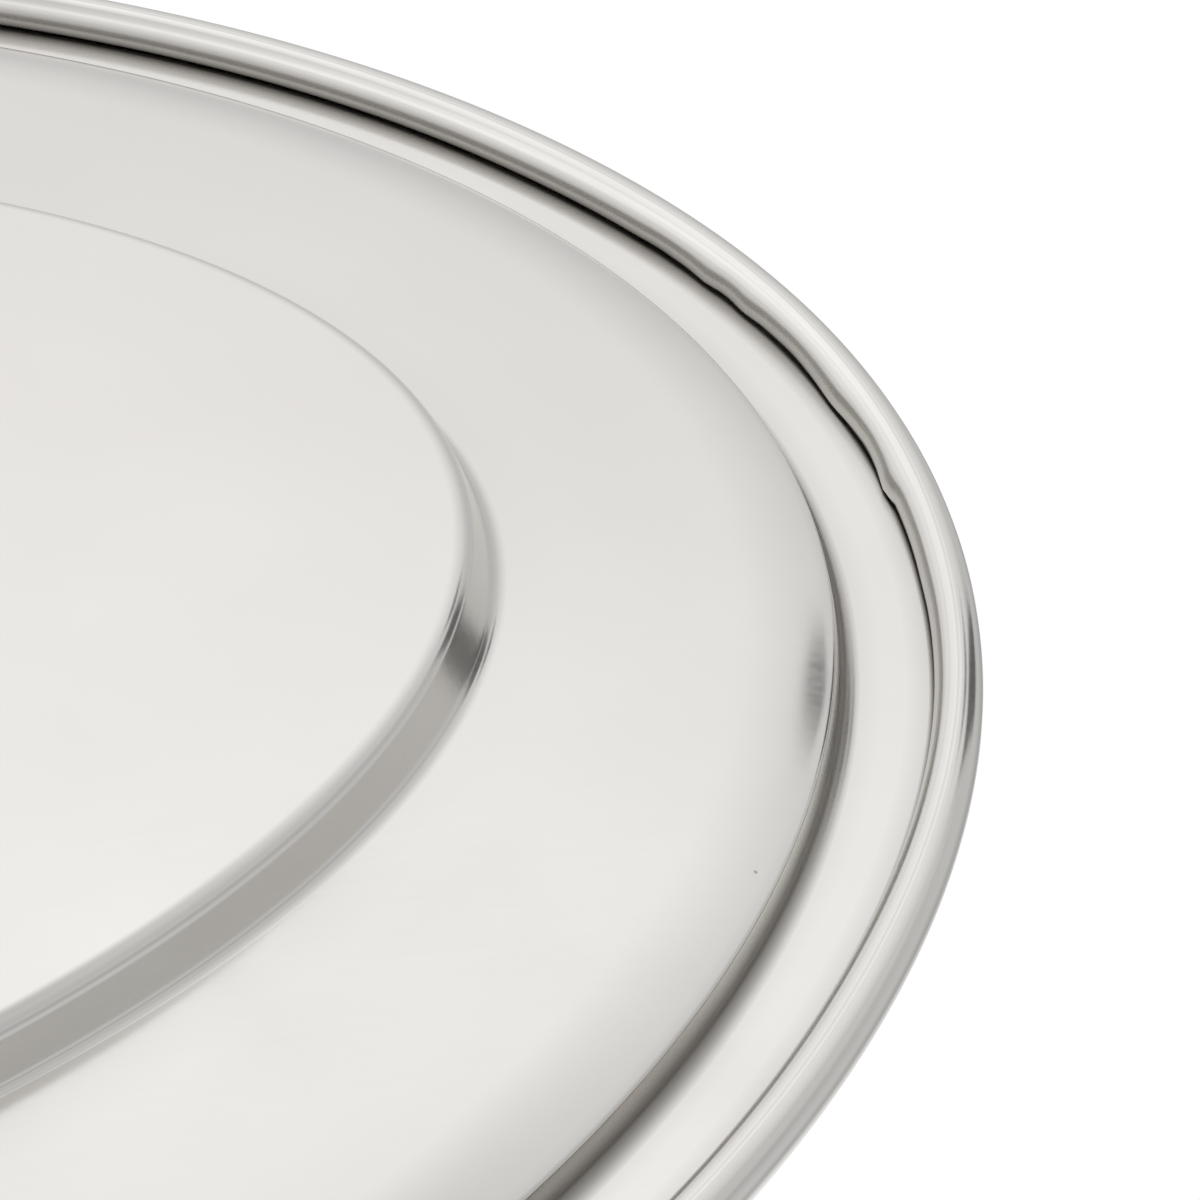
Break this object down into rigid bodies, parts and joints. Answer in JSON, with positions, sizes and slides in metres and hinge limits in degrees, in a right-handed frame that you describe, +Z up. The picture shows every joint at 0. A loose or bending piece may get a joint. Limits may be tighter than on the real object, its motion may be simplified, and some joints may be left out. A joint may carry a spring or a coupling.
{
  "type": "oval serving dish",
  "caption": "Shallow oval stainless steel serving dish with a flat base, a wide, gently sloping band, a stepped flange and a rolled, wired edge.",
  "frame": {"origin": "on the table, under the middle of the flat base", "axes": "+X along the dish's long axis, +Y along its short axis, +Z up out of the open side"},
  "size_m": [0.4, 0.28, 0.0161],
  "materials": {
    "polished_sheet": "satin-polished stainless steel sheet",
    "edge_wire": "drawn steel wire"
  },
  "bodies": {
    "root": {"dish_pressing": "polished_sheet", "rim_wire": "edge_wire"}
  },
  "joints": []
}
